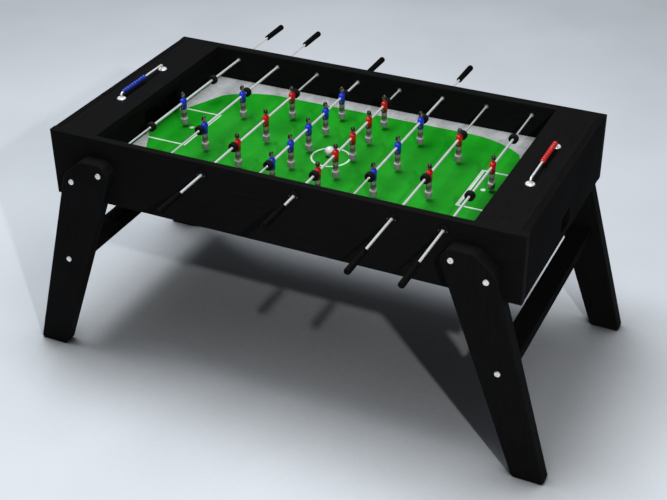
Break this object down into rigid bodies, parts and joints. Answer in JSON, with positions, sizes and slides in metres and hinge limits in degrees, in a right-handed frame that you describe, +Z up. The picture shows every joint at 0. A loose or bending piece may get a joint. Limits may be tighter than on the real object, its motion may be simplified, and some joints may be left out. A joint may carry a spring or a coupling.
{
  "type": "foosball table",
  "caption": "Foosball table on splayed legs, with telescopic rods of blue and red men that spin and slide over a green field, score beads and a ball.",
  "frame": {"origin": "on the floor, under the middle of the table", "axes": "+X along the table, towards the red goalie; +Y across it, away from the front; +Z up"},
  "size_m": [1.6218, 1.282, 0.7514],
  "materials": {
    "black_board": "satin black laminate",
    "green_field": "smooth laminate",
    "white_bank": "satin",
    "chrome_rod": "polished",
    "rod_steel": "ground",
    "chrome_bar": "polished",
    "black_rubber": "matte",
    "black_grip": "satin, ridged",
    "black_plastic": "satin",
    "blue_plastic": "gloss",
    "red_plastic": "gloss",
    "bolt_steel": "zinc plated",
    "light_nylon": "satin",
    "white_ball": "satin"
  },
  "bodies": {
    "table": {"side_panels": "black_board", "end_panels": "black_board", "end_decks": "black_board", "goal_walls": "black_board", "playfield_board": "green_field", "field_banks": "white_bank", "ball_trays": "black_plastic", "front_left_leg": "black_board", "front_right_leg": "black_board", "back_left_leg": "black_board", "back_right_leg": "black_board", "leg_stretchers": "black_board", "leg_bolts": "bolt_steel", "bearing_housings": "black_plastic", "bearing_bushes": "light_nylon", "bearing_screws": "bolt_steel", "score_bars": "chrome_bar"},
    "blue_goalie_core": {"blue_goalie_spindle": "rod_steel"},
    "blue_goalie_rod": {"blue_goalie_tube": "chrome_rod", "blue_goalie_men": "blue_plastic", "blue_goalie_bumpers": "black_rubber", "blue_goalie_handle": "black_grip"},
    "blue_defence_core": {"blue_defence_spindle": "rod_steel"},
    "blue_defence_rod": {"blue_defence_tube": "chrome_rod", "blue_defence_men": "blue_plastic", "blue_defence_bumpers": "black_rubber", "blue_defence_handle": "black_grip"},
    "red_attack_core": {"red_attack_spindle": "rod_steel"},
    "red_attack_rod": {"red_attack_tube": "chrome_rod", "red_attack_men": "red_plastic", "red_attack_bumpers": "black_rubber", "red_attack_handle": "black_grip"},
    "blue_midfield_core": {"blue_midfield_spindle": "rod_steel"},
    "blue_midfield_rod": {"blue_midfield_tube": "chrome_rod", "blue_midfield_men": "blue_plastic", "blue_midfield_bumpers": "black_rubber", "blue_midfield_handle": "black_grip"},
    "red_midfield_core": {"red_midfield_spindle": "rod_steel"},
    "red_midfield_rod": {"red_midfield_tube": "chrome_rod", "red_midfield_men": "red_plastic", "red_midfield_bumpers": "black_rubber", "red_midfield_handle": "black_grip"},
    "blue_attack_core": {"blue_attack_spindle": "rod_steel"},
    "blue_attack_rod": {"blue_attack_tube": "chrome_rod", "blue_attack_men": "blue_plastic", "blue_attack_bumpers": "black_rubber", "blue_attack_handle": "black_grip"},
    "red_defence_core": {"red_defence_spindle": "rod_steel"},
    "red_defence_rod": {"red_defence_tube": "chrome_rod", "red_defence_men": "red_plastic", "red_defence_bumpers": "black_rubber", "red_defence_handle": "black_grip"},
    "red_goalie_core": {"red_goalie_spindle": "rod_steel"},
    "red_goalie_rod": {"red_goalie_tube": "chrome_rod", "red_goalie_men": "red_plastic", "red_goalie_bumpers": "black_rubber", "red_goalie_handle": "black_grip"},
    "blue_beads": {"blue_score_beads": "blue_plastic"},
    "red_beads": {"red_score_beads": "red_plastic"},
    "game_ball": {"ball": "white_ball"}
  },
  "joints": [
    {"name": "blue_goalie_spin", "type": "hinge", "parent": "table", "child": "blue_goalie_core", "pos_m": [-0.48615, 0, 0.693], "axis": [0, 1, 0], "continuous": true},
    {"name": "blue_goalie_slide", "type": "slide", "parent": "blue_goalie_core", "child": "blue_goalie_rod", "axis": [0, 1, 0], "range_m": [-0.152, 0.152]},
    {"name": "blue_defence_spin", "type": "hinge", "parent": "table", "child": "blue_defence_core", "pos_m": [-0.34725, 0, 0.693], "axis": [0, 1, 0], "continuous": true},
    {"name": "blue_defence_slide", "type": "slide", "parent": "blue_defence_core", "child": "blue_defence_rod", "axis": [0, 1, 0], "range_m": [-0.157, 0.189]},
    {"name": "red_attack_spin", "type": "hinge", "parent": "table", "child": "red_attack_core", "pos_m": [-0.20835, 0, 0.693], "axis": [0, 1, 0], "continuous": true},
    {"name": "red_attack_slide", "type": "slide", "parent": "red_attack_core", "child": "red_attack_rod", "axis": [0, -1, 0], "range_m": [-0.105, 0.138]},
    {"name": "blue_midfield_spin", "type": "hinge", "parent": "table", "child": "blue_midfield_core", "pos_m": [-0.06945, 0, 0.693], "axis": [0, 1, 0], "continuous": true},
    {"name": "blue_midfield_slide", "type": "slide", "parent": "blue_midfield_core", "child": "blue_midfield_rod", "axis": [0, 1, 0], "range_m": [-0.051, 0.083]},
    {"name": "red_midfield_spin", "type": "hinge", "parent": "table", "child": "red_midfield_core", "pos_m": [0.06945, 0, 0.693], "axis": [0, 1, 0], "continuous": true},
    {"name": "red_midfield_slide", "type": "slide", "parent": "red_midfield_core", "child": "red_midfield_rod", "axis": [0, -1, 0], "range_m": [-0.051, 0.083]},
    {"name": "blue_attack_spin", "type": "hinge", "parent": "table", "child": "blue_attack_core", "pos_m": [0.20835, 0, 0.693], "axis": [0, 1, 0], "continuous": true},
    {"name": "blue_attack_slide", "type": "slide", "parent": "blue_attack_core", "child": "blue_attack_rod", "axis": [0, 1, 0], "range_m": [-0.105, 0.138]},
    {"name": "red_defence_spin", "type": "hinge", "parent": "table", "child": "red_defence_core", "pos_m": [0.34725, 0, 0.693], "axis": [0, 1, 0], "continuous": true},
    {"name": "red_defence_slide", "type": "slide", "parent": "red_defence_core", "child": "red_defence_rod", "axis": [0, -1, 0], "range_m": [-0.157, 0.189]},
    {"name": "red_goalie_spin", "type": "hinge", "parent": "table", "child": "red_goalie_core", "pos_m": [0.48615, 0, 0.693], "axis": [0, 1, 0], "continuous": true},
    {"name": "red_goalie_slide", "type": "slide", "parent": "red_goalie_core", "child": "red_goalie_rod", "axis": [0, -1, 0], "range_m": [-0.152, 0.152]},
    {"name": "blue_score_slide", "type": "slide", "parent": "table", "child": "blue_beads", "axis": [0, 1, 0], "range_m": [0, 0.088]},
    {"name": "red_score_slide", "type": "slide", "parent": "table", "child": "red_beads", "axis": [0, -1, 0], "range_m": [0, 0.088]},
    {"name": "ball_across", "type": "slide", "parent": "table", "child": "game_ball", "axis": [0, 1, 0], "range_m": [-0.27, 0.26]}
  ]
}
